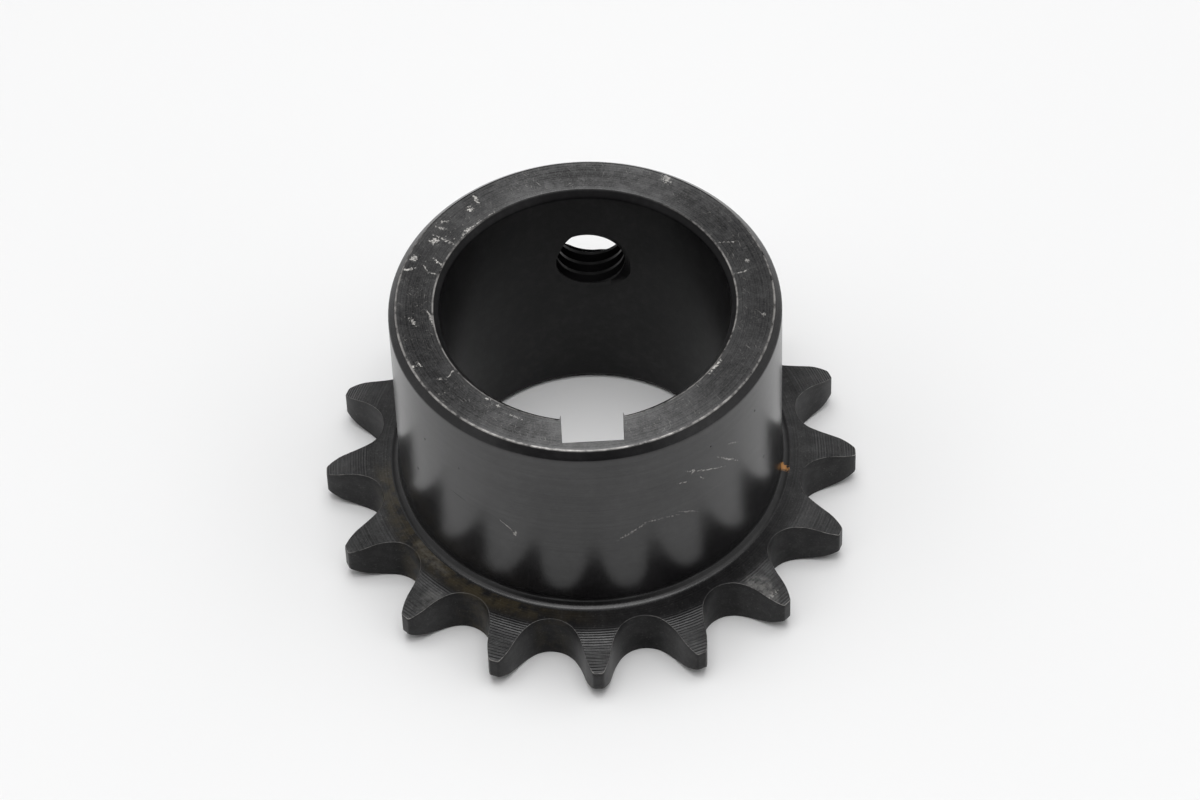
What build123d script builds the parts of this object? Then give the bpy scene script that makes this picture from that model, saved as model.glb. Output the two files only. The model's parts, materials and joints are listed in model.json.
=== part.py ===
from build123d import *
import os
from math import sin, cos, tan, radians, sqrt, degrees, atan2

# Roller chain sprocket with a long hub on one side, turned and hobbed from one steel blank.
# All sizes in mm. +Z runs along the bore from the toothed end to the free end of the hub,
# Z = 0 is the toothed end face, and the keyway lies on -Y.

# driving dimensions: chain and teeth
chain_pitch = 12.7
roller_dia = 7.92
tooth_count = 16
plate_width = 7.2            # toothed disc, face to face
seat_play = 0.038            # seat radius over the roller's
relief_depth = 1.92          # how far each side face falls away at the tooth tip
relief_margin = 0.35         # flat left outside the root circle before the relief starts
tooth_clocking = -1.3        # tooth centre from the keyway's centre line, degrees

# driving dimensions: hub, bore, keyway and screw
hub_dia = 51.4
bore_dia = 38.1
hub_length = 38.1            # overall, toothed disc included
foot_radius = 1.2            # fillet between hub and toothed disc
hub_edge = 1.0               # chamfer round the free end
bore_edge = 0.8              # chamfer at both ends of the bore
key_width = 8.0
key_depth = 4.1              # from the bore wall to the keyway floor, on the centre line
screw_dia = 11.1             # 7/16 in set screw, wall at the thread's major diameter
screw_height = 24.55         # screw axis above the toothed end face
screw_angle = 86.0           # screw axis round from +X, degrees

# dependent dimensions: standard tooth form from the pitch and the roller
half_tooth = 180 / tooth_count
pitch_r = chain_pitch / (2 * sin(radians(half_tooth)))
tip_r = chain_pitch * (0.6 + 1 / tan(radians(half_tooth))) / 2
seat_r = 0.5025 * roller_dia + seat_play
root_r = pitch_r - seat_r
seat_end = 35 + 60 / tooth_count
working_turn = 18 - 56 / tooth_count
working_r = 1.3025 * roller_dia + seat_play
working_offset = 0.8 * roller_dia
topping_offset = 1.4 * roller_dia
hub_r = hub_dia / 2
bore_r = bore_dia / 2
key_floor_r = bore_r + key_depth
relief_start_r = root_r + relief_margin
tip_low = relief_depth
tip_high = plate_width - relief_depth
gap_reach = tip_r + 6        # gap cutter, out past the tips
through = hub_length + 4     # cutters, past both end faces


def polar(origin, radius, angle):
    # point at a radius and an angle in degrees round an origin
    return (
        origin[0] + radius * cos(radians(angle)),
        origin[1] + radius * sin(radians(angle)),
    )


# half of one gap, drawn with the roller on +Y: seat, working arc, straight flank, topping arc
roller_at = (0.0, pitch_r)
working_at = polar(roller_at, working_offset, 180 - seat_end)
topping_at = polar(roller_at, topping_offset, -half_tooth)
flank_dir = working_turn - seat_end
root_point = (0.0, root_r)
seat_mid = polar(roller_at, seat_r, (-90 - seat_end) / 2)
seat_point = polar(roller_at, seat_r, -seat_end)
working_mid = polar(working_at, working_r, flank_dir - working_turn / 2)
working_point = polar(working_at, working_r, flank_dir)
flank_x = cos(radians(flank_dir + 90))
flank_y = sin(radians(flank_dir + 90))
flank_length = (
    (topping_at[0] - working_point[0]) * flank_x
    + (topping_at[1] - working_point[1]) * flank_y
)
flank_point = (
    working_point[0] + flank_length * flank_x,
    working_point[1] + flank_length * flank_y,
)
topping_r = sqrt(
    (flank_point[0] - topping_at[0]) ** 2 + (flank_point[1] - topping_at[1]) ** 2
)
topping_start = degrees(
    atan2(flank_point[1] - topping_at[1], flank_point[0] - topping_at[0])
)
topping_sweep = 27           # carries the topping arc just past the tip circle
topping_mid = polar(topping_at, topping_r, topping_start - topping_sweep / 2)
topping_end = polar(topping_at, topping_r, topping_start - topping_sweep)

# one whole chain gap, open outwards
with BuildSketch() as gap:
    with BuildLine():
        seat = ThreePointArc(root_point, seat_mid, seat_point)
        working = ThreePointArc(seat_point, working_mid, working_point)
        flank = Line(working_point, flank_point)
        topping = ThreePointArc(flank_point, topping_mid, topping_end)
        rise = Line(topping_end, (topping_end[0], gap_reach))
        half_top = Line((topping_end[0], gap_reach), (0, gap_reach))
        mirror(about=Plane.YZ)
    make_face()

with BuildPart() as sprocket:
    # blank: hub and toothed disc in one turning, both sides of the disc relieved to the tip
    with BuildSketch(Plane.XZ):
        with BuildLine():
            back = Line((bore_r, 0), (relief_start_r, 0))
            back_relief = TangentArc((relief_start_r, 0), (tip_r, tip_low), tangent=(1, 0))
            tip = Line((tip_r, tip_low), (tip_r, tip_high))
            front_relief = TangentArc(
                (relief_start_r, plate_width), (tip_r, tip_high), tangent=(1, 0)
            )
            front = Line((relief_start_r, plate_width), (hub_r, plate_width))
            hub_side = Line((hub_r, plate_width), (hub_r, hub_length))
            hub_end = Line((hub_r, hub_length), (bore_r, hub_length))
            bore_side = Line((bore_r, hub_length), (bore_r, 0))
        make_face()
    revolve(axis=Axis.Z)

    # fillet at the foot of the hub
    foot = sprocket.edges().filter_by(GeomType.CIRCLE).filter_by(
        lambda e: abs(e.radius - hub_r) < 0.01 and abs(e.center().Z - plate_width) < 0.01
    )
    fillet(foot, foot_radius)

    # chamfers: free end of the hub, then both ends of the bore
    rim = sprocket.edges().filter_by(GeomType.CIRCLE).filter_by(
        lambda e: abs(e.radius - hub_r) < 0.01 and abs(e.center().Z - hub_length) < 0.01
    )
    chamfer(rim, hub_edge)
    bore_ends = sprocket.edges().filter_by(GeomType.CIRCLE).filter_by(
        lambda e: abs(e.radius - bore_r) < 0.01
    )
    chamfer(bore_ends, bore_edge)

    # chain gaps, one roller seat each, cut through the disc only
    with BuildSketch(Plane.XY.offset(-1)):
        with PolarLocations(0, tooth_count, start_angle=tooth_clocking + half_tooth):
            add(gap.sketch)
    extrude(amount=plate_width + 2, mode=Mode.SUBTRACT)

    # keyway on -Y, square bottomed, the full length of the bore
    with BuildSketch(Plane.XY.offset(-2)):
        with Locations((0, -key_floor_r / 2)):
            Rectangle(key_width, key_floor_r)
    extrude(amount=through, mode=Mode.SUBTRACT)

    # set screw hole through the wall opposite the keyway
    screw_plane = Plane(
        origin=(0, 0, screw_height),
        x_dir=(-sin(radians(screw_angle)), cos(radians(screw_angle)), 0),
        z_dir=(cos(radians(screw_angle)), sin(radians(screw_angle)), 0),
    )
    with BuildSketch(screw_plane):
        Circle(screw_dia / 2)
    extrude(amount=hub_r + 2, mode=Mode.SUBTRACT)

sprocket.part.label = "sprocket"

os.makedirs("parts", exist_ok=True)
export_step(sprocket.part, "parts/sprocket.step")
print("sprocket volume", round(sprocket.part.volume, 1))
print("bounding box", sprocket.part.bounding_box())
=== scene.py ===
import bpy
import json
import math
from mathutils import Matrix, Vector

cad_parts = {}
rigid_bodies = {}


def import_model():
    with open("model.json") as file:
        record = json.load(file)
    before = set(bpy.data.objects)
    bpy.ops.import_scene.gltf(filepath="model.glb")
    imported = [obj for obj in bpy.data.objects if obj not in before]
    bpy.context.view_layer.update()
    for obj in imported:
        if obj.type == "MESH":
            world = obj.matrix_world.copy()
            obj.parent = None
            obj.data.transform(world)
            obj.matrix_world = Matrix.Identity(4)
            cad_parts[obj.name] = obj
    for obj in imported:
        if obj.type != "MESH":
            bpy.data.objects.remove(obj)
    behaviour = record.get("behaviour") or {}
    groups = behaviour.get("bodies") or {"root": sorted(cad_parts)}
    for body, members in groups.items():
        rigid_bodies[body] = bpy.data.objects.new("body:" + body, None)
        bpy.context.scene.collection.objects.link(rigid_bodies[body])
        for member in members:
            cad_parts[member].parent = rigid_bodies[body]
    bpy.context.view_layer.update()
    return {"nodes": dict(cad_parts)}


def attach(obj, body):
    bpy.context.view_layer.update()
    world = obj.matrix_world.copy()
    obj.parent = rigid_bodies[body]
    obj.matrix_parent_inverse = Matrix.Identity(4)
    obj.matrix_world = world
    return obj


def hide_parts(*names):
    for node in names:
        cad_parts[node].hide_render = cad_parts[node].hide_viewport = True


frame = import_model()
print("frame loaded:", ", ".join(frame["nodes"]))

mm = 0.001


def newObject(name, data):
    made = bpy.data.objects.new(name, data)
    bpy.context.scene.collection.objects.link(made)
    return made


# the camera looks down on the keyway's side through a long lens
camera = {
    "location": (-0.008087, -0.445478, 0.558349),
    "rotation": (39.4961, 1.3559, -2.8786),   # degrees
    "lens": 157.83,
    "sensor": 36.0,
}
cameraData = bpy.data.cameras.new("benchCamera")
cameraData.lens = camera["lens"]
cameraData.sensor_width = camera["sensor"]
cameraObject = newObject("benchCamera", cameraData)
cameraObject.location = camera["location"]
cameraObject.rotation_euler = [math.radians(a) for a in camera["rotation"]]
bpy.context.scene.camera = cameraObject


def addNode(tree, kind, inputs=None, **settings):
    # one node, its settings, then its sockets: a value is written, a socket is linked
    node = tree.nodes.new(kind)
    for name, value in settings.items():
        setattr(node, name, value)
    for key, value in (inputs or {}).items():
        socket = node.inputs[key]
        if isinstance(value, bpy.types.NodeSocket):
            tree.links.new(value, socket)
        else:
            socket.default_value = value
    return node


def maths(tree, operation, first, second=0.0, third=0.0, clamp=False):
    inputs = {0: first, 1: second, 2: third}
    return addNode(tree, "ShaderNodeMath", inputs, operation=operation, use_clamp=clamp).outputs[0]


def multiply(tree, *factors):
    product = factors[0]
    for factor in factors[1:]:
        product = maths(tree, "MULTIPLY", product, factor)
    return product


def vectorMaths(tree, operation, first, second=(0.0, 0.0, 0.0)):
    node = addNode(tree, "ShaderNodeVectorMath", {0: first, 1: second}, operation=operation)
    return node.outputs["Value" if operation in ("LENGTH", "DOT_PRODUCT") else "Vector"]


def ramp(tree, value, low, high, start=0.0, end=1.0):
    # value from low to high becomes start to end, held at both ends
    inputs = {0: value, 1: low, 2: high, 3: start, 4: end}
    return addNode(tree, "ShaderNodeMapRange", inputs, interpolation_type="SMOOTHSTEP", clamp=True).outputs[0]


def fade(tree, value, span, start=0.0, end=1.0):
    # the same over a span in millimetres
    return ramp(tree, value, span[0] * mm, span[1] * mm, start, end)


def blendColour(tree, share, first, second):
    first, second = ((*c, 1.0) if isinstance(c, tuple) else c for c in (first, second))
    return addNode(tree, "ShaderNodeMix", {0: share, 6: first, 7: second}, data_type="RGBA").outputs[2]


# sizes in mm
body = {
    "teeth": 16,
    "pitch": 12.7,
    "roller": 7.92,
    "width": 7.2,
    "reliefDepth": 1.92,
    "reliefMargin": 0.35,
    "clocking": -1.3,        # degrees
    "hubRadius": 25.7,
    "boreRadius": 19.05,
    "length": 38.1,
    "footRadius": 1.2,
    "hubEdge": 1.0,
    "boreEdge": 0.8,
    "keyHalf": 4.0,
    "keyFloor": 23.15,
    "keyEdge": 0.12,         # share of the bore's chamfer that is left along the keyway
    "seam": 27.3,            # where the toothed ring meets the hub's core
    "toothEdge": 0.09,       # rounding left on the teeth's edges by deburring
    "edgeGuard": 0.12,       # from that rounding to the next row across the flank
    "guard": 0.3,            # from a turned corner to the row that keeps the wide faces flat
    "mouthDepth": 1.2,       # how far in from each end the bore's chamfer has rows
}
# mesh rows of each surface
meshRows = {"face": 13, "edge": 4, "wall": 5, "foot": 8, "side": 6, "end": 4, "bore": 6, "back": 4}
# share of wear on the rows that round a tooth's edge, less towards the gaps
toothWear = (0.75, 1.0, 0.9, 0.5)
gapShelter = 0.45
screwHole = {
    "radius": 5.55,
    "height": 24.55,
    "angle": 86.0,           # degrees round from +X
    "pitch": 1.814,          # of the thread tapped in it
    "crest": 4.6,
    "crestWidth": 0.55,
    "rootWidth": 1.56,
    "turns": 5.2,
    "start": 17.156,         # along the hole, inside the bore
    "deburr": 5.3,           # radius of the thread's mouth at the hub's side
    "clearance": 0.02,       # between the thread's ends and the bore and the hub's side
    "sink": 0.05,            # how far the ridge reaches into the hole's wall
    "steps": 96,
    "trimSteps": 512,
}


def polar(origin, radius, angle):
    turn = math.radians(angle)
    return Vector((origin[0] + radius * math.cos(turn), origin[1] + radius * math.sin(turn)))


def toothOutline():
    # standard roller chain tooth form, from the bottom of a gap to the middle of the tooth:
    # seating curve, working curve, straight, topping curve, as (degrees, radius) pairs
    count, pitch, roller = body["teeth"], body["pitch"], body["roller"]
    half = 180 / count
    pitchRadius = pitch / 2 / math.sin(math.radians(half))
    tip = pitch * (0.6 + 1 / math.tan(math.radians(half))) / 2
    play = 0.038
    seat = 0.5025 * roller + play
    seatEnd = 35 + 60 / count
    turn = 18 - 56 / count
    working = 1.3025 * roller + play
    rollerAt = Vector((0, pitchRadius))
    workingAt = polar(rollerAt, 0.8 * roller, 180 - seatEnd)
    toppingAt = polar(rollerAt, 1.4 * roller, -half)
    points = [polar(rollerAt, seat, -90 + (90 - seatEnd) * i / 9) for i in range(10)]
    points += [polar(workingAt, working, -seatEnd + turn * i / 5) for i in range(1, 6)]
    heading = polar((0, 0), 1, turn - seatEnd + 90)
    length = (toppingAt - points[-1]).dot(heading)
    points.append(points[-1] + heading * length)
    topping = (points[-1] - toppingAt).length
    start = math.degrees(math.atan2(*(points[-1] - toppingAt).yx))
    stepTurn, tipMargin = 1.9, 0.12
    point = polar(toppingAt, topping, start - stepTurn)
    while point.length <= tip - tipMargin:
        points.append(point)
        start -= stepTurn
        point = polar(toppingAt, topping, start - stepTurn)
    outline = [(math.degrees(math.atan2(p.x, p.y)), p.length) for p in points]
    # rounded shoulder, each step some degrees on and mm below the tip, then the land to the tooth's middle
    shoulder = outline[-1][0] + 0.24
    outline.append((shoulder, tip - 0.035))
    outline.append((shoulder + 0.14, tip - 0.004))
    outline += [(shoulder + 0.3 + (half - shoulder - 0.3) * i / 2, tip) for i in range(3)]
    return outline, tip, pitchRadius - seat


outline, tipRadius, rootRadius = toothOutline()
reliefStart = rootRadius + body["reliefMargin"]
reliefRun = tipRadius - reliefStart
reliefRadius = (reliefRun ** 2 + body["reliefDepth"] ** 2) / 2 / body["reliefDepth"]


def sideDrop(radius):
    # how far the disc's side face has fallen away at this radius
    run = max(radius - reliefStart, 0.0)
    return reliefRadius - math.sqrt(reliefRadius ** 2 - run ** 2)


def gridMesh(name, rows, columns, pointAt, closed):
    # a sheet of quads: pointAt gives a place and a share of edge wear for each row and column
    verts, worn = [], []
    for i in range(rows):
        for j in range(columns):
            place, share = pointAt(i, j)
            verts.append(Vector(place) * mm)
            worn.append(share)
    faces = []
    for i in range(rows - 1):
        for j in range(columns if closed else columns - 1):
            k = (j + 1) % columns
            faces.append((i * columns + j, (i + 1) * columns + j, (i + 1) * columns + k, i * columns + k))
    mesh = bpy.data.meshes.new(name)
    mesh.from_pydata(verts, [], faces)
    mesh.attributes.new("wornEdge", "FLOAT", "POINT").data.foreach_set("value", worn)
    mesh.update()
    return mesh


# columns of one pitch, from gap to gap with the tooth in the middle: (degrees from the tooth, radius)
halfPitch = 180 / body["teeth"]
pitchColumns = [(a - halfPitch, r) for a, r in outline] + [(halfPitch - a, r) for a, r in outline[-2::-1]]


def sectorPoint(row, column):
    # round one tooth's section: out along the front face, down the flank, back along the rear face
    angle, reach = pitchColumns[column]
    edge = body["toothEdge"]
    drop = sideDrop(reach)
    front = body["width"] - drop
    edgeStart = meshRows["face"]
    wallStart = edgeStart + meshRows["edge"]
    share = 0.0
    if row < edgeStart:
        lastRow = reach - edge * 2.2
        radius = body["seam"] + (lastRow - body["seam"]) * row / (meshRows["face"] - 1)
        height = body["width"] - sideDrop(radius)
    elif row < wallStart:
        corner = math.radians(90 * (row - edgeStart) / (meshRows["edge"] - 1))
        radius = reach - edge + edge * math.sin(corner)
        height = front - edge + edge * math.cos(corner) + sideDrop(reach) - sideDrop(radius)
        share = toothWear[row - edgeStart] * (1.0 - gapShelter * min(abs(angle) / halfPitch, 1.0))
    elif row < wallStart + meshRows["wall"]:
        radius = reach
        top, low = front - edge - body["edgeGuard"], drop + edge + body["edgeGuard"]
        height = top + (low - top) * (row - wallStart + 1) / (meshRows["wall"] + 1)
    else:
        point, share = sectorPoint(sectorRows - 1 - row, column)
        return (point[0], point[1], body["width"] - point[2]), share
    turn = math.radians(-90 + body["clocking"] + angle)
    return (radius * math.cos(turn), radius * math.sin(turn), height), share


sectorRows = 2 * meshRows["face"] + 2 * meshRows["edge"] + meshRows["wall"]
toothMesh = gridMesh("toothSector", sectorRows, len(pitchColumns), sectorPoint, False)
toothObject = newObject("toothSector", toothMesh)
print("tooth sector:", len(toothMesh.vertices), "points")

# columns of the hub's core, at the same angles as the teeth's so that the two weld
coreAngles = []
for k in range(body["teeth"]):
    for a, r in pitchColumns[:-1]:
        coreAngles.append((body["clocking"] + a + k * 360 / body["teeth"] + 180) % 360 - 180)
coreAngles.sort()


# half angles of the keyway's corners, at its floor and at the bore
floorCorner = math.degrees(math.atan2(body["keyHalf"], body["keyFloor"]))
boreCorner = math.degrees(math.asin(body["keyHalf"] / body["boreRadius"]))
keyBlend = {"cornerStep": 0.12, "columns": 8}   # degrees past the corner, columns that share the slide


def nearestColumn(angle):
    return min(range(len(coreAngles)), key=lambda i: abs(coreAngles[i] - angle))


def slideColumns():
    # near the keyway the bore's columns are slid so that some land on its corners
    table = {}
    for side in (-1, 1):
        inner = nearestColumn(side * floorCorner)
        outer = nearestColumn(side * boreCorner)
        table[inner] = side * floorCorner
        table[outer] = side * boreCorner
        table[outer + side] = side * (boreCorner + keyBlend["cornerStep"])
    low, high = min(table) - keyBlend["columns"], max(table) + keyBlend["columns"]
    table[low], table[high] = coreAngles[low], coreAngles[high]
    anchors = sorted(table)
    warped = list(coreAngles)
    for a, b in zip(anchors, anchors[1:]):
        for i in range(a, b + 1):
            t = (coreAngles[i] - coreAngles[a]) / (coreAngles[b] - coreAngles[a])
            warped[i] = table[a] + (table[b] - table[a]) * t
    return warped


boreAngles = slideColumns()


def boreReach(angle):
    # radius of the bore's wall in this direction, keyway included, and the share of chamfer there
    a, tiny = abs(angle), 1e-4
    if a <= floorCorner + tiny:
        return body["keyFloor"] / math.cos(math.radians(a)), body["keyEdge"]
    if a <= boreCorner + tiny:
        return body["keyHalf"] / math.sin(math.radians(a)), body["keyEdge"]
    return body["boreRadius"], 1.0


# rows that round each turned corner, mm from the sharp one: outwards, upwards, share of wear
corners = {
    "sideTop": [(0, -0.1, 0.25), (-0.03, 0, 0.45), (-0.1, 0.1, 0.25), (-0.3, 0.3, 0)],
    "faceRim": [(0.3, -0.3, 0), (0.1, -0.1, 0.8), (0, -0.035, 1.0), (-0.12, 0, 0.7), (-0.3, 0, 0)],
    "boreRim": [(0.1, 0, 0.7), (0, -0.03, 1.0), (-0.09, -0.1, 0.7), (-0.25, -0.26, 0)],
    "boreWall": [(0.2, 0.2, 0.1), (0.07, 0.05, 0.5), (0, -0.1, 0.4), (0, -0.3, 0)],
    "backWear": 0.6,         # wear of the bore's rear mouth against its front one
}
endStart = body["hubRadius"] - body["hubEdge"] - body["guard"]
mouthRadius = body["boreRadius"] + body["boreEdge"]


def coreSection():
    # rows (radius, height, wear, part of the section), from the front seam round to the back one
    hub, bore, top = body["hubRadius"], body["boreRadius"], body["length"]
    foot, edge, guard = body["footRadius"], body["hubEdge"], body["guard"]
    mouth, seam = top - body["boreEdge"], body["seam"]
    section = [(seam, body["width"], 0, "out"), (hub + foot + 0.1, body["width"], 0, "out")]

    def addCorner(name, radius, height, part):
        section.extend((radius + out, height + up, wear, part) for out, up, wear in corners[name])

    for i in range(meshRows["foot"] + 1):
        turn = math.radians(90 * i / meshRows["foot"])
        height = body["width"] + foot - foot * math.cos(turn)
        section.append((hub + foot - foot * math.sin(turn), height, 0, "out"))
    low, high = body["width"] + foot, top - edge - 0.35
    sideHeights = [low + (high - low) * i / meshRows["side"] for i in range(1, meshRows["side"] + 1)]
    section += [(hub, height, 0, "out") for height in sideHeights]
    addCorner("sideTop", hub, top - edge, "out")
    addCorner("faceRim", hub - edge, top, "out")
    stop = mouthRadius + guard
    endRadii = [endStart + (stop - endStart) * i / meshRows["end"] for i in range(1, meshRows["end"] + 1)]
    section += [(radius, top, 0, "end") for radius in endRadii]
    addCorner("boreRim", mouthRadius, top, "bore")
    addCorner("boreWall", bore, mouth, "bore")
    wall = top - 2 * body["boreEdge"] - 2 * guard
    wallHeights = [mouth - guard - wall * i / meshRows["bore"] for i in range(1, meshRows["bore"])]
    section += [(bore, height, 0, "bore") for height in wallHeights]
    section += [(radius, top - height, wear * corners["backWear"], part)
                for radius, height, wear, part in reversed(section)
                if part == "bore" and height > top - body["mouthDepth"]]
    section += [(stop + (seam - stop) * i / meshRows["back"], 0, 0, "back") for i in range(meshRows["back"])]
    section.append((seam, 0, 0, "out"))
    return section


coreRows = coreSection()


def corePoint(row, column):
    radius, height, share, part = coreRows[row]
    plain, slid = coreAngles[column], boreAngles[column]
    reach, chamfer = boreReach(slid)
    top, mouth = body["length"], body["mouthDepth"]
    angle = plain
    if part in ("end", "back"):
        # slides from the plain columns to the bore's on the way in
        start = endStart if part == "end" else body["seam"]
        depth = (start - radius) / (start - mouthRadius - body["guard"])
        angle = plain + (slid - plain) * depth
        stop = reach + (body["boreEdge"] + body["guard"]) * chamfer
        radius = start - (start - stop) * depth
    elif part == "bore":
        angle = slid
        radius = reach + (radius - body["boreRadius"]) * chamfer
        if top - height < mouth:
            height = top - (top - height) * chamfer
        elif height < mouth:
            height *= chamfer
    turn = math.radians(-90 + angle)
    return (radius * math.cos(turn), radius * math.sin(turn), height), share


coreMesh = gridMesh("sprocketBody", len(coreRows), len(coreAngles), corePoint, True)
print("hub core:", len(coreMesh.vertices), "points")


def lathed(name, profile, steps, place):
    # a closed solid turned round local Z from (radius, height) pairs, ends on the axis
    verts = [(0, 0, profile[0][1])]
    turns = [2 * math.pi * i / steps for i in range(steps)]
    for radius, height in profile:
        verts += [(radius * math.cos(turn), radius * math.sin(turn), height) for turn in turns]
    verts.append((0, 0, profile[-1][1]))
    faces = []
    for i in range(steps):
        k = (i + 1) % steps
        faces.append((0, 1 + k, 1 + i))
        for n in range(len(profile) - 1):
            a = 1 + n * steps
            faces.append((a + i, a + k, a + steps + k, a + steps + i))
        last = 1 + (len(profile) - 1) * steps
        faces.append((last + i, last + k, len(verts) - 1))
    mesh = bpy.data.meshes.new(name)
    mesh.from_pydata([place @ (Vector(v) * mm) for v in verts], [], faces)
    mesh.update()
    return mesh


# the screw's own axes: local Z points out of the hub along the hole
screwTurn = Matrix.Rotation(math.radians(screwHole["angle"]), 4, "Z") @ Matrix.Rotation(math.pi / 2, 4, "Y")
screwPlace = Matrix.Translation((0, 0, screwHole["height"] * mm)) @ screwTurn
hubRadius = body["hubRadius"]
holeProfile = [(screwHole["radius"], 8), (screwHole["radius"], hubRadius + 2)]
cutterObject = newObject("screwCutter", lathed("screwCutter", holeProfile, screwHole["steps"], screwPlace))


def newTree(name, inputs):
    tree = bpy.data.node_groups.new(name, "GeometryNodeTree")
    tree.is_modifier = True
    tree.interface.new_socket("Geometry", in_out="INPUT", socket_type="NodeSocketGeometry")
    for label, kind, value in inputs:
        socket = tree.interface.new_socket(label, in_out="INPUT", socket_type=kind)
        if value is not None:
            socket.default_value = value
    tree.interface.new_socket("Geometry", in_out="OUTPUT", socket_type="NodeSocketGeometry")
    return tree, tree.nodes.new("NodeGroupInput").outputs, tree.nodes.new("NodeGroupOutput").inputs


def runTree(target, tree, values):
    # puts the tree on the object, sets its inputs by identifier, and keeps the result as a plain mesh
    modifier = target.modifiers.new(tree.name, "NODES")
    modifier.node_group = tree
    names = {s.name: s.identifier for s in tree.interface.items_tree if s.in_out == "INPUT"}
    for label, value in values.items():
        modifier[names[label]] = value
    graph = bpy.context.evaluated_depsgraph_get()
    graph.update()
    made = bpy.data.meshes.new_from_object(target.evaluated_get(graph), depsgraph=graph)
    target.modifiers.remove(modifier)
    old = target.data
    made.name = old.name
    target.data = made
    bpy.data.meshes.remove(old)
    return target


def objectMesh(tree, source):
    return addNode(tree, "GeometryNodeObjectInfo", {"Object": source}).outputs["Geometry"]


def cutAway(tree, geometry, cutter):
    inputs = {"Mesh 1": geometry, "Mesh 2": objectMesh(tree, cutter)}
    return addNode(tree, "GeometryNodeMeshBoolean", inputs, operation="DIFFERENCE", solver="EXACT").outputs[0]


def sharpByAngle(tree, geometry, degrees):
    angle = tree.nodes.new("GeometryNodeInputMeshEdgeAngle").outputs[0]
    inputs = {"Geometry": geometry, "Shade Smooth": True}
    smooth = addNode(tree, "GeometryNodeSetShadeSmooth", inputs, domain="FACE")
    shallow = addNode(tree, "FunctionNodeCompare", {0: angle, 1: math.radians(degrees)},
                      operation="LESS_THAN", data_type="FLOAT")
    inputs = {"Geometry": smooth.outputs[0], "Shade Smooth": shallow.outputs[0]}
    return addNode(tree, "GeometryNodeSetShadeSmooth", inputs, domain="EDGE").outputs[0]


# where the finishes meet: mm from the axis, and metres from a flat face that still count as on it
regions = {
    "inside": endStart - body["guard"],
    "sideFrom": endStart,
    "sideTo": body["hubRadius"] + body["footRadius"] + 0.05,
    "topSkin": 5e-6,
    "footSkin": 3e-6,
    "backSkin": 2e-5,
}


def sprocketTree():
    # the tooth is repeated round the core, welded to it, and the screw hole is bored
    tree, given, result = newTree("toothedHub", [
        ("Tooth", "NodeSocketObject", None), ("Teeth", "NodeSocketInt", 16), ("Weld", "NodeSocketFloat", 2e-6),
        ("Screw cutter", "NodeSocketObject", None),
        ("Top", "NodeSocketFloat", 0.038), ("Foot", "NodeSocketFloat", 0.0072),
        ("End face", "NodeSocketMaterial", None), ("Side", "NodeSocketMaterial", None),
        ("Disc", "NodeSocketMaterial", None), ("Inside", "NodeSocketMaterial", None)])
    spots = addNode(tree, "GeometryNodePoints", {"Count": given["Teeth"]})
    step = maths(tree, "DIVIDE", 2 * math.pi, given["Teeth"])
    turn = multiply(tree, tree.nodes.new("GeometryNodeInputIndex").outputs[0], step)
    spin = addNode(tree, "ShaderNodeCombineXYZ", {"Z": turn})
    ring = addNode(tree, "GeometryNodeInstanceOnPoints", {
        "Points": spots.outputs[0], "Instance": objectMesh(tree, given["Tooth"]), "Rotation": spin.outputs[0]})
    loose = addNode(tree, "GeometryNodeRealizeInstances", {"Geometry": ring.outputs[0]})
    both = tree.nodes.new("GeometryNodeJoinGeometry")
    tree.links.new(given["Geometry"], both.inputs[0])
    tree.links.new(loose.outputs[0], both.inputs[0])
    welded = addNode(tree, "GeometryNodeMergeByDistance", {
        "Geometry": both.outputs[0], "Distance": given["Weld"]})
    bored = cutAway(tree, welded.outputs[0], given["Screw cutter"])
    shaded = sharpByAngle(tree, bored, 38)
    whole = addNode(tree, "GeometryNodeRealizeInstances", {"Geometry": shaded}).outputs[0]
    # each kind of surface by where its faces lie
    position = tree.nodes.new("GeometryNodeInputPosition").outputs[0]
    spot = addNode(tree, "ShaderNodeSeparateXYZ", {0: position}).outputs
    out = addNode(tree, "ShaderNodeCombineXYZ", {"X": spot[0], "Y": spot[1]})
    radius = vectorMaths(tree, "LENGTH", out.outputs[0])
    top = maths(tree, "GREATER_THAN", spot[2], maths(tree, "SUBTRACT", given["Top"], regions["topSkin"]))
    side = multiply(
        tree, maths(tree, "GREATER_THAN", radius, regions["sideFrom"] * mm),
        maths(tree, "LESS_THAN", radius, regions["sideTo"] * mm),
        maths(tree, "GREATER_THAN", spot[2], maths(tree, "ADD", given["Foot"], regions["footSkin"])))
    inside = multiply(
        tree, maths(tree, "LESS_THAN", radius, regions["inside"] * mm),
        maths(tree, "GREATER_THAN", spot[2], regions["backSkin"]))
    for label, where in (("Disc", None), ("Inside", inside), ("Side", side), ("End face", top)):
        painted = addNode(tree, "GeometryNodeSetMaterial", {"Geometry": whole, "Material": given[label]})
        if where is not None:
            tree.links.new(where, painted.inputs["Selection"])
        whole = painted.outputs[0]
    tree.links.new(whole, result["Geometry"])
    return tree


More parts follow.
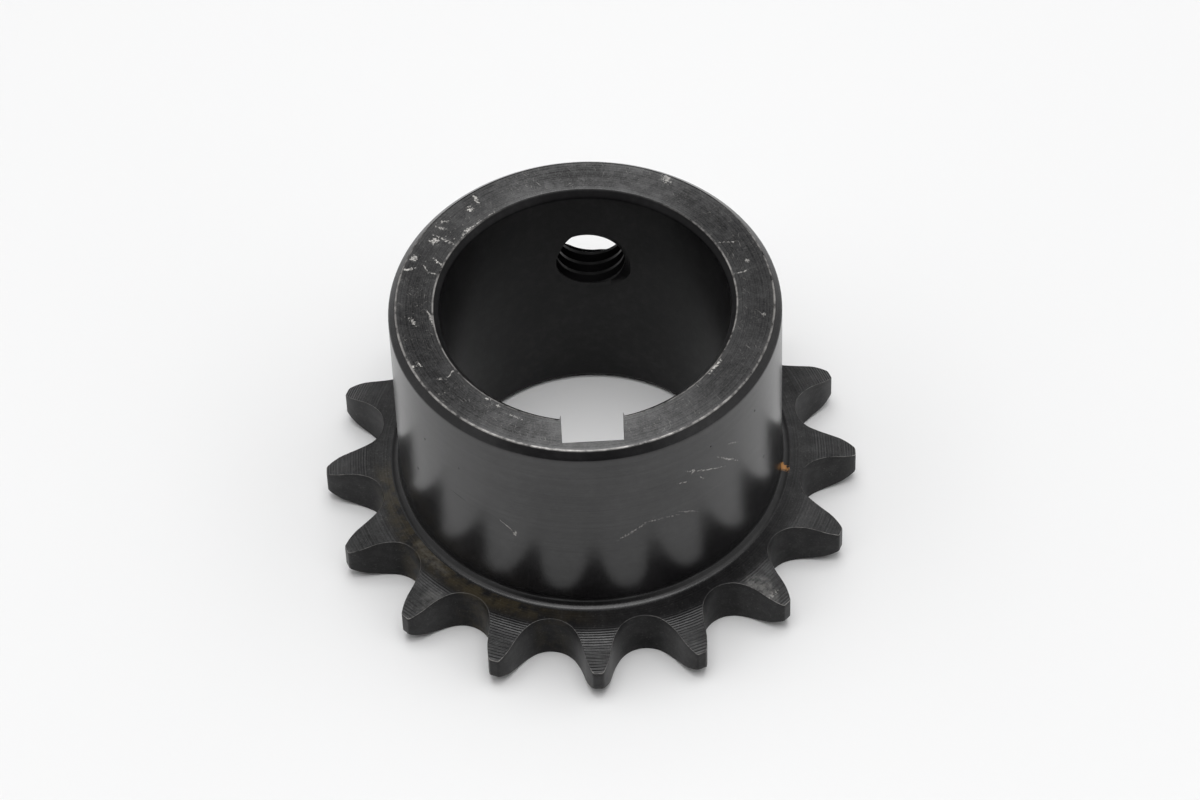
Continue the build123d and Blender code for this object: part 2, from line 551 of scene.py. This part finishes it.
def threadTree():
    # a ridge swept along a spiral and cut off by the bore, the hub's side and the deburred mouth
    tree, given, result = newTree("tappedThread", [
        ("Ridge", "NodeSocketObject", None), ("Bore", "NodeSocketObject", None),
        ("Hub", "NodeSocketObject", None), ("Mouth", "NodeSocketObject", None),
        ("Radius", "NodeSocketFloat", 0.006), ("Pitch", "NodeSocketFloat", 0.00175),
        ("Turns", "NodeSocketFloat", 5.0), ("Start", "NodeSocketFloat", 0.0174),
        ("Angle", "NodeSocketFloat", 1.5), ("Height", "NodeSocketFloat", 0.0246),
        ("Finish", "NodeSocketMaterial", None)])
    spiral = addNode(tree, "GeometryNodeCurveSpiral", {
        "Resolution": 72, "Rotations": given["Turns"], "Start Radius": given["Radius"],
        "End Radius": given["Radius"], "Height": multiply(tree, given["Pitch"], given["Turns"])})
    upright = addNode(tree, "GeometryNodeSetCurveNormal", {"Curve": spiral.outputs[0]}, mode="Z_UP")
    section = addNode(tree, "GeometryNodeMeshToCurve", {"Mesh": objectMesh(tree, given["Ridge"])})
    swept = addNode(tree, "GeometryNodeCurveToMesh", {
        "Curve": upright.outputs[0], "Profile Curve": section.outputs[0], "Fill Caps": True})
    # out along the hole, laid down, turned round the hub and lifted
    out = addNode(tree, "ShaderNodeCombineXYZ", {"Z": given["Start"]})
    along = addNode(tree, "GeometryNodeTransform", {
        "Geometry": swept.outputs[0], "Translation": out.outputs[0]})
    lay = addNode(tree, "GeometryNodeTransform", {
        "Geometry": along.outputs[0], "Rotation": (0.0, math.pi / 2, 0.0)})
    spin = addNode(tree, "ShaderNodeCombineXYZ", {"Z": given["Angle"]})
    lift = addNode(tree, "ShaderNodeCombineXYZ", {"Z": given["Height"]})
    placed = addNode(tree, "GeometryNodeTransform", {
        "Geometry": lay.outputs[0], "Rotation": spin.outputs[0], "Translation": lift.outputs[0]})
    inner = cutAway(tree, placed.outputs[0], given["Bore"])
    flush = addNode(tree, "GeometryNodeMeshBoolean", {"Mesh 2": inner}, operation="INTERSECT", solver="EXACT")
    tree.links.new(objectMesh(tree, given["Hub"]), flush.inputs["Mesh 2"])
    trimmed = cutAway(tree, flush.outputs[0], given["Mouth"])
    shaded = sharpByAngle(tree, trimmed, 35)
    whole = addNode(tree, "GeometryNodeRealizeInstances", {"Geometry": shaded})
    finish = addNode(tree, "GeometryNodeSetMaterial", {
        "Geometry": whole.outputs[0], "Material": given["Finish"]})
    tree.links.new(finish.outputs[0], result["Geometry"])
    return tree


# colours, and the spans in mm over which things fade
steel = {
    "oxide": (0.0052, 0.0050, 0.0055),
    "oxideThin": (0.011, 0.0105, 0.0112),
    "bare": (0.60, 0.58, 0.56),
    # pale steel of the scratches, and of the painted sheen on the ring's pale patches
    "scratchAndSheen": (0.50, 0.485, 0.46),
    "residue": (0.034, 0.027, 0.015),
    "rust": (0.42, 0.19, 0.05),
    "pit": (0.001, 0.001, 0.001),
    "index": 1.60,
    "edgeMetal": 0.8,
    "wearFront": (20.0, 6.0),        # in Y: bare edges only towards the front, none at the far side
    "specksLeft": (-10.0, -20.0),    # in X: most specks are on the left
    "specksElsewhere": 0.16,         # share of them on the rest
    "residueOut": (30.0, 28.0),      # from the axis
    "residueLeft": (4.0, -16.0),
    "residueFront": (2.0, -4.0),
    "wander": 0.55,                  # mm, of the strokes
    "markDepth": 8.0,                # thousandths of a millimetre
    "hairlines": ((35, 0.9), (-50, 1.3), (100, 1.1)),   # heading in degrees, size
}
micron = 1e-6
# scratches and nicks, mm: centre, heading in degrees, half length, half width, strength
faceMarks = [
    (-13.55, 19.21, -66, 0.86, 0.2, 1), (-14.4, 17.4, -4, 0.34, 0.36, 1), (-13.1, 14.8, 37, 0.48, 0.42, 1),
    (-14.6, 13.5, 45, 1.21, 0.36, 1), (-11.8, 16, 42, 1.03, 0.18, 0.62),
    (-18.2, 14.3, -22, 0.69, 0.15, 0.75), (-17.9, 15.4, 7, 0.57, 0.14, 0.62),
    (-19.3, 12.1, 27, 0.52, 0.42, 1), (-17.7, 12.1, -32, 1.49, 0.14, 0.75), (-22, 9.3, -46, 0.46, 0.39, 1),
    (-22.9, 7.4, 8, 0.75, 0.18, 1), (-18.8, 8.3, -49, 0.75, 0.15, 1), (-20.6, 7.4, -63, 0.69, 0.09, 0.62),
    (-19.6, 6.5, -25, 0.92, 0.09, 0.62), (-20.1, -1.2, -73, 1.38, 0.15, 0.62),
    (-22.4, -1.7, -65, 0.69, 0.21, 0.75), (-22.7, -9.2, 4, 0.37, 0.18, 1),
    (-21.9, -8.9, -55, 0.4, 0.14, 0.88), (-19.2, -11.5, -4, 0.34, 0.14, 0.62),
    (-17.8, -10.7, 55, 0.8, 0.11, 0.75), (-13.2, -15.3, -27, 0.3, 0.24, 1),
    (-11.9, -16.6, -41, 0.28, 0.18, 0.88), (-9.8, -18.5, -31, 0.8, 0.12, 0.5),
    (11.9, 20.9, 24, 0.57, 0.68, 0.69), (19.4, 9.2, -1, 0.92, 0.11, 0.5), (20.8, 4, 19, 0.92, 0.11, 0.62),
    (21.6, 5.9, -4, 0.25, 0.3, 0.5), (23.1, -3.6, -4, 0.23, 0.27, 0.5), (16.3, -11.8, 51, 1.03, 0.22, 1),
]
sideMarks = [
    (19.3, 27.6, -44, 0.99, 0.13, 0.75), (15.4, 28.6, -31, 2.86, 0.1, 0.68),
    (18.8, 28, -47, 2.2, 0.1, 0.52), (11.8, 28.5, -20, 0.66, 0.11, 0.6),
    (13.2, 29.8, -29, 0.22, 0.27, 0.75), (4.8, 21.8, 33, 2.2, 0.13, 0.38),
    (7.4, 22.9, -2, 1.04, 0.13, 0.45), (10.1, 22.5, -14, 0.77, 0.1, 0.45), (12.5, 22, -32, 1.32, 0.1, 0.38),
    (-10.9, 20.2, 24, 0.24, 0.34, 0.6), (-12, 21.1, -38, 1.32, 0.1, 0.38),
    (20.1, 30.1, -34, 0.99, 0.1, 0.45), (14.5, 27.7, -58, 0.44, 0.11, 0.45),
]
sidePits = [
    (16.1, 32.8, 0, 0.17, 0.17, 0.8), (24.8, 32.0, 0, 0.2, 0.24, 0.7), (27.4, 19.8, 0, 0.25, 0.3, 0.7),
    (-19.7, 22.7, -5, 1.8, 0.06, 0.6), (-28.4, 20.1, 0, 0.25, 0.25, 0.6), (-25.8, 28.8, 0, 0.2, 0.2, 0.6),
    (-19.2, 28.7, 0, 0.14, 0.14, 0.6),
]
discMarks = [
    (-17.1, -30.7, 20, 0.3, 0.2, 0.7), (-4.1, -33.3, 0, 0.3, 0.16, 0.5), (16.5, -24.2, 30, 0.3, 0.2, 0.5),
    (-1.8, -26.1, 0, 0.45, 0.14, 0.9), (22.6, -25.2, 40, 0.9, 0.22, 0.4),
]
# wide, faint pale patches on the ring's left and right: painted sheen with a scuffed grain
discSheenPatches = [
    (21.4, -24.2, -45, 3.0, 2.0, 0.19), (-21.9, -16.4, -58, 4.6, 1.7, 0.09),
    (-22.4, -23.3, 45, 2.4, 1.6, 0.08),
]


def marks(tree, flat, table, ragged):
    # strokes on a plane given in metres, their outline pushed in and out by the ragged value
    total = 0.0
    for x, y, heading, length, width, strength in table:
        local = addNode(tree, "ShaderNodeMapping", {
            "Vector": flat, "Location": (x * mm, y * mm, 0), "Rotation": (0, 0, math.radians(heading)),
            "Scale": (length * mm, width * mm, 1)}, vector_type="TEXTURE")
        far = maths(tree, "ADD", vectorMaths(tree, "LENGTH", local.outputs[0]), ragged)
        total = maths(tree, "MAXIMUM", total, ramp(tree, far, 1.0, 0.5, 0.0, strength))
    return total


def noise(tree, place, size, detail=3.0, rough=0.5, low=0.0, high=0.0):
    # features about size millimetres across; with low and high given, a mask between the two
    value = addNode(tree, "ShaderNodeTexNoise", {
        "Vector": place, "Scale": 1000.0 / size, "Detail": detail, "Roughness": rough}).outputs[0]
    return ramp(tree, value, low, high) if high else value


def oxideSteel(name, look):
    material = bpy.data.materials.new(name)
    material.use_nodes = True
    tree = material.node_tree
    tree.nodes.clear()
    out = tree.nodes.new("ShaderNodeOutputMaterial")
    shader = tree.nodes.new("ShaderNodeBsdfPrincipled")
    shader.inputs["IOR"].default_value = steel["index"]
    tree.links.new(shader.outputs[0], out.inputs[0])
    place = tree.nodes.new("ShaderNodeTexCoord").outputs["Object"]
    x, y, z = addNode(tree, "ShaderNodeSeparateXYZ", {0: place}).outputs
    backward = multiply(tree, y, -1.0)
    flat = addNode(tree, "ShaderNodeCombineXYZ", {"X": x, "Y": y}).outputs[0]
    radius = vectorMaths(tree, "LENGTH", flat)
    plane = flat
    if look["wrapped"]:
        around = multiply(tree, maths(tree, "ARCTAN2", x, backward), body["hubRadius"] * mm)
        plane = addNode(tree, "ShaderNodeCombineXYZ", {"X": around, "Y": z}).outputs[0]

    # 0 on upright walls, 1 on faces that look up or down
    normal = tree.nodes.new("ShaderNodeNewGeometry").outputs["True Normal"]
    upward = addNode(tree, "ShaderNodeSeparateXYZ", {0: normal}).outputs[2]
    facing = ramp(tree, maths(tree, "ABSOLUTE", upward), 0.2, 0.6)

    # colour of the oxide, thinner in patches
    cloud = noise(tree, place, 9.0, 5.0, 0.6)
    mottle = noise(tree, place, 1.1, 4.0, 0.6, 0.42, 0.7)
    thin = multiply(tree, ramp(tree, cloud, 0.38, 0.66), maths(tree, "MULTIPLY_ADD", mottle, 0.55, 0.45))
    colour = blendColour(tree, thin, steel["oxide"], steel["oxideThin"])
    if look["residue"]:
        # brown residue dried on the ring, left of the middle
        dried = multiply(
            tree, fade(tree, radius, steel["residueOut"]), fade(tree, x, steel["residueLeft"]),
            fade(tree, y, steel["residueFront"]), noise(tree, place, 2.4, 4.0, 0.6, 0.36, 0.58))
        colour = blendColour(tree, dried, colour, steel["residue"])

    # worn edges
    worn = addNode(tree, "ShaderNodeAttribute", attribute_name="wornEdge").outputs["Fac"]
    patches = noise(tree, place, 5.5, 3.0, 0.5, 0.42, 0.56)
    chips = noise(tree, place, 0.9, 4.0, 0.65, 0.34, 0.62)
    rubbed = maths(tree, "MULTIPLY_ADD", chips, 0.65, multiply(tree, patches, 0.35))
    rim = ramp(tree, worn, 0.5, 0.95, 0.0, look["wear"])
    edge = multiply(tree, rim, fade(tree, y, steel["wearFront"]), rubbed)

    # scratches and specks, on a plane whose places wander a little
    wobble = addNode(tree, "ShaderNodeTexNoise", {"Vector": place, "Scale": 700.0, "Detail": 3.0}).outputs[1]
    shift = vectorMaths(tree, "SUBTRACT", wobble, (0.5, 0.5, 0.5))
    shift = vectorMaths(tree, "MULTIPLY", shift, (steel["wander"] * mm, steel["wander"] * mm, 0))
    bent = vectorMaths(tree, "ADD", plane, shift)
    ragged = ramp(tree, noise(tree, place, 0.3, 3.0, 0.7), 0.3, 0.7, -1.1, 1.2)
    strokes = multiply(tree, noise(tree, place, 0.28, 2.0, 0.6, 0.60, 0.74), look["grit"])
    if look["specks"]:
        few = look["specks"] * steel["specksElsewhere"]
        specks = multiply(
            tree, noise(tree, place, 0.42, 3.0, 0.7, 0.64, 0.74), noise(tree, place, 3.2, 2.0, 0.5, 0.45, 0.60),
            fade(tree, x, steel["specksLeft"], few, look["specks"]))
        strokes = maths(tree, "MAXIMUM", strokes, specks)
    if look["marks"]:
        broken = ramp(tree, noise(tree, place, 0.35, 3.0, 0.6), 0.32, 0.5, 0.25, 1.0)
        cuts = multiply(tree, marks(tree, bent, look["marks"], ragged), broken)
        strokes = maths(tree, "MAXIMUM", strokes, cuts if look["wrapped"] else multiply(tree, cuts, facing))
    # painted sheen: pale patches on the ring's flat faces, broken up by the chips
    if look["sheenPatches"]:
        sheenPatch = multiply(tree, marks(tree, bent, look["sheenPatches"], 0.0), facing, chips)
        colour = blendColour(tree, sheenPatch, colour, steel["scratchAndSheen"])
    if look["hairlines"]:
        for turn, size in steel["hairlines"]:
            along = addNode(tree, "ShaderNodeMapping", {
                "Vector": bent, "Rotation": (0, 0, math.radians(turn)), "Scale": (12.0 * mm, mm, 1)},
                vector_type="TEXTURE")
            line = addNode(tree, "ShaderNodeTexNoise", {
                "Vector": along.outputs[0], "Scale": 9.0 / size, "Detail": 2.0})
            faint = multiply(tree, ramp(tree, line.outputs[0], 0.66, 0.74, 0.0, look["hairlines"]), patches)
            strokes = maths(tree, "MAXIMUM", strokes, faint)
    colour = blendColour(tree, strokes, colour, steel["scratchAndSheen"])
    colour = blendColour(tree, edge, colour, steel["bare"])
    if look["rust"]:
        rusted = marks(tree, bent, look["rust"], multiply(tree, ragged, 0.25))
        colour = blendColour(tree, rusted, colour, steel["rust"])
    pits = 0.0
    if look["pits"]:
        pits = marks(tree, plane, look["pits"], 0.0)
        colour = blendColour(tree, pits, colour, steel["pit"])
    tree.links.new(colour, shader.inputs["Base Color"])
    tree.links.new(multiply(tree, edge, steel["edgeMetal"]), shader.inputs["Metallic"])

    # shine: duller where marked, uneven in patches, specks and turned lines
    rough = maths(tree, "MULTIPLY_ADD", cloud, 0.12, look["roughness"] - 0.06)
    marked = maths(tree, "ADD", strokes, pits)
    rough = maths(tree, "MULTIPLY_ADD", marked, 0.25, rough, clamp=True)
    tree.links.new(rough, shader.inputs["Roughness"])
    section = addNode(tree, "ShaderNodeCombineXYZ", {"X": radius, "Y": z}).outputs[0]
    lathe = addNode(tree, "ShaderNodeTexNoise", {
        "Vector": section, "Scale": 5000.0, "Detail": 4.0, "Roughness": 0.8}).outputs[0]
    turned = ramp(tree, lathe, 0.35, 0.65, -0.4, 0.4)
    if not look["wrapped"]:
        turned = multiply(tree, turned, facing)
    speckle = ramp(tree, noise(tree, place, 0.22, 2.0, 0.6), 0.3, 0.7, -0.5, 0.5)
    smear = maths(tree, "MULTIPLY_ADD", mottle, 0.4, multiply(tree, ramp(tree, cloud, 0.3, 0.7), 0.6))
    smear = maths(tree, "SUBTRACT", maths(tree, "ADD", smear, turned), 0.5)
    smear = maths(tree, "MULTIPLY_ADD", speckle, 0.4, smear)
    gloss = maths(tree, "MULTIPLY_ADD", smear, look["specular"] * look["smear"], look["specular"])
    gloss = multiply(tree, gloss, maths(tree, "MULTIPLY_ADD", facing, 1 - look["walls"], look["walls"]))
    if look["feed"]:
        # duller by the hub, where the tool's coarse marks don't reach
        gloss = multiply(tree, gloss, fade(tree, radius, look["ringSpan"], look["ringGloss"], 1.0))
    gloss = maths(tree, "MULTIPLY_ADD", pits, -0.4, gloss, clamp=True)
    tree.links.new(gloss, shader.inputs["Specular IOR Level"])
    # the grain runs round the axis
    tangent = addNode(tree, "ShaderNodeCombineXYZ", {"X": backward, "Y": x}).outputs[0]
    tree.links.new(vectorMaths(tree, "NORMALIZE", tangent), shader.inputs["Tangent"])
    shader.inputs["Anisotropic"].default_value = look["grain"]
    shader.inputs["Anisotropic Rotation"].default_value = look["grainTurn"]

    # fine relief: tool marks, pitting, scratches
    pitting = multiply(tree, noise(tree, place, 0.35, 3.0, 0.6), look["pitting"] * micron)
    height = maths(tree, "MULTIPLY_ADD", lathe, look["lathe"] * micron, pitting)
    if look["feed"]:
        drift = multiply(tree, noise(tree, place, 6.0), 5.0)
        phase = maths(tree, "MULTIPLY_ADD", radius, 2 * math.pi / (look["feedPitch"] * mm), drift)
        growth = fade(tree, radius, look["feedGrowth"], 0.35, 1.0)
        deep = multiply(tree, fade(tree, radius, look["feedStart"]), growth, facing, look["feed"] * micron)
        height = maths(tree, "MULTIPLY_ADD", maths(tree, "SINE", phase), deep, height)
    height = maths(tree, "MULTIPLY_ADD", marked, -steel["markDepth"] * micron, height)
    bump = addNode(tree, "ShaderNodeBump", {"Height": height, "Strength": 1.0, "Distance": 1.0})
    tree.links.new(bump.outputs[0], shader.inputs["Normal"])
    return material


# lathe, pitting and feed are depths in thousandths of a millimetre; walls is the upright walls' share
# of the shine; grainTurn 0 spreads a reflection along the grain and 0.25 across it
plainLook = {
    "wrapped": False, "walls": 1, "grain": 0, "grainTurn": 0, "feed": 0, "wear": 0.6, "grit": 0.0,
    "specks": 0, "hairlines": 0, "residue": False, "sheenPatches": [], "marks": [], "pits": [], "rust": [],
}
faceLook = {
    **plainLook, "roughness": 0.36, "specular": 0.74, "smear": 0.85, "grain": 0.85, "grainTurn": 0.25,
    "lathe": 1.8, "pitting": 2.6, "wear": 1.0, "grit": 0.10, "specks": 1.0, "hairlines": 0.35,
    "marks": faceMarks,
}
# the hub's side is unrolled, so its marks lie mm round from the front and mm up
sideLook = {
    **plainLook, "wrapped": True, "roughness": 0.25, "specular": 0.385, "smear": 0.22, "lathe": 0.25,
    "pitting": 0.25, "marks": sideMarks, "pits": sidePits, "rust": [(35.8, 7.6, 0, 0.75, 0.6, 1.0)],
}
# spans in mm from the axis; feedPitch in mm between two passes of the tool
discLook = {
    **plainLook, "roughness": 0.38, "specular": 0.46, "smear": 0.6, "walls": 0.34, "grain": 0.5,
    # the sheen patches are painted sheen on the ring by the hub
    "lathe": 1.5, "pitting": 2.2, "wear": 0.5, "grit": 0.06, "residue": True, "sheenPatches": discSheenPatches,
    "marks": discMarks, "feed": 30.0, "feedPitch": 0.36, "feedStart": (29.0, 30.6),
    "feedGrowth": (30.0, 34.5), "ringSpan": (29.2, 30.8), "ringGloss": 0.65,
}
insideLook = {
    **plainLook, "roughness": 0.38, "specular": 0.13, "smear": 0.3, "lathe": 0.6, "pitting": 0.5,
}
finishes = {
    "End face": oxideSteel("endFaceSteel", faceLook),
    "Side": oxideSteel("hubSideSteel", sideLook),
    "Disc": oxideSteel("discSteel", discLook),
    "Inside": oxideSteel("boreSteel", insideLook),
}
print("finishes:", ", ".join(finishes))

sprocketBody = newObject("sprocketBody", coreMesh)
runTree(sprocketBody, sprocketTree(), {
    "Tooth": toothObject, "Teeth": body["teeth"], "Screw cutter": cutterObject,
    "Top": body["length"] * mm, "Foot": body["width"] * mm, **finishes})
for helper in (toothObject, cutterObject):
    bpy.data.objects.remove(helper)
print("sprocket body:", len(sprocketBody.data.vertices), "points,", len(sprocketBody.data.polygons), "faces")
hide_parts("sprocket")
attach(sprocketBody, "root")

# thread of the set screw hole: its ridge's section, then the solids that trim it
sink, clearance = screwHole["sink"], screwHole["clearance"]
depth = screwHole["radius"] + sink - screwHole["crest"]
half, tip = screwHole["rootWidth"] / 2 + 0.02, screwHole["crestWidth"] / 2
right = [(-sink, half), (depth - 0.12, tip + 0.03), (depth - 0.05, tip - 0.04)]
ridge = [(-sink, -half)] + right + [(x, -y) for x, y in right[:0:-1]]
ridgeMesh = bpy.data.meshes.new("threadRidge")
ridgeMesh.from_pydata([Vector((x, y, 0)) * mm for x, y in ridge], [(i, (i + 1) % 6) for i in range(6)], [])
ridgeObject = newObject("threadRidge", ridgeMesh)


def trimObject(name, profile, steps, place):
    return newObject(name, lathed(name, profile, steps, place))


apex = hubRadius - screwHole["deburr"]
coneProfile = [(0.001, apex), (8, apex + 8), (8, apex + 12)]
coneObject = trimObject("mouthCone", coneProfile, screwHole["steps"], screwPlace)
boreEnd, hubEnd = body["boreRadius"] + clearance, hubRadius - clearance
boreTrim = trimObject("boreTrim", [(boreEnd, 5), (boreEnd, 35)], screwHole["trimSteps"], Matrix())
hubTrim = trimObject("hubTrim", [(hubEnd, 4), (hubEnd, 36)], screwHole["trimSteps"], Matrix())

screwThread = newObject("screwThread", bpy.data.meshes.new("screwThread"))
runTree(screwThread, threadTree(), {
    "Ridge": ridgeObject, "Bore": boreTrim, "Hub": hubTrim, "Mouth": coneObject,
    "Radius": screwHole["radius"] * mm, "Pitch": screwHole["pitch"] * mm, "Turns": screwHole["turns"],
    "Start": screwHole["start"] * mm, "Angle": math.radians(screwHole["angle"]),
    "Height": screwHole["height"] * mm, "Finish": finishes["Inside"]})
for helper in (ridgeObject, boreTrim, hubTrim, coneObject):
    bpy.data.objects.remove(helper)
print("thread:", len(screwThread.data.vertices), "points")
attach(screwThread, "root")

# a pale table in a light tent
studio = {
    "floorColour": (0.86, 0.86, 0.862),
    "floorRoughness": 0.9,
    "floorSpecular": 0.1,
    "floorReach": 3.0,
    "floorDrop": 0.00002,                # below the part's back face, so that the two don't coincide
    "worldStrength": 0.17,
    "sideStrength": 0.46,                # added towards the tent's left and right walls
    "sideSpan": (0.35, 0.75),            # how far aside: none yet, all of it
    "openSide": (-0.17, -0.78, 0.60),    # the tent's open front, darker than its cloth
    "openStrength": 0.15,
    "openAngle": (18.0, 42.0),           # degrees: fully dark inside, fully lit outside
}
# power, size, place
lamps = {
    "softbox": (4.75, (0.6, 0.5), (0.0, 0.1, 1.0)),
    "frontPanel": (2.9, (0.6, 0.5), (0.0, -0.4, 1.0)),
    "leftPanel": (1.5, (0.6, 1.0), (-0.6, -0.15, 1.0)),
    "rightPanel": (1.5, (0.6, 1.0), (0.6, -0.15, 1.0)),
    "backPanel": (0.9, (0.6, 0.5), (0.0, 0.6, 1.0)),
}
floorMesh = bpy.data.meshes.new("studioFloor")
reach = studio["floorReach"]
floorMesh.from_pydata([(-reach, -reach, 0), (reach, -reach, 0), (reach, reach, 0), (-reach, reach, 0)],
                      [], [(0, 1, 2, 3)])
studioFloor = newObject("studioFloor", floorMesh)
studioFloor.location.z = -studio["floorDrop"]
floorPaint = bpy.data.materials.new("paperWhite")
floorPaint.use_nodes = True
floorShader = floorPaint.node_tree.nodes["Principled BSDF"]
floorShader.inputs["Base Color"].default_value = (*studio["floorColour"], 1.0)
floorShader.inputs["Roughness"].default_value = studio["floorRoughness"]
floorShader.inputs["Specular IOR Level"].default_value = studio["floorSpecular"]
floorMesh.materials.append(floorPaint)

world = bpy.data.worlds.new("studioWorld")
world.use_nodes = True
worldTree = world.node_tree
direction = worldTree.nodes.new("ShaderNodeTexCoord").outputs["Generated"]
towards = vectorMaths(worldTree, "DOT_PRODUCT", direction, Vector(studio["openSide"]).normalized())
darkest, lightest = (math.cos(math.radians(a)) for a in studio["openAngle"])
aside = addNode(worldTree, "ShaderNodeSeparateXYZ", {0: direction}).outputs[0]
cloth = ramp(worldTree, maths(worldTree, "ABSOLUTE", aside), *studio["sideSpan"], 0.0, studio["sideStrength"])
cloth = maths(worldTree, "ADD", cloth, studio["worldStrength"])
level = multiply(worldTree, cloth, ramp(worldTree, towards, lightest, darkest, 1.0, studio["openStrength"]))
worldBack = worldTree.nodes["Background"]
worldBack.inputs[0].default_value = (1.0, 1.0, 1.0, 1.0)
worldTree.links.new(level, worldBack.inputs[1])
bpy.context.scene.world = world

for name, (power, size, lampPlace) in lamps.items():
    lamp = bpy.data.lights.new(name, "AREA")
    lamp.shape = "RECTANGLE"
    lamp.size, lamp.size_y = size
    lamp.energy = power
    newObject(name, lamp).location = lampPlace

bpy.context.scene.view_settings.view_transform = "Standard"
print("studio set")
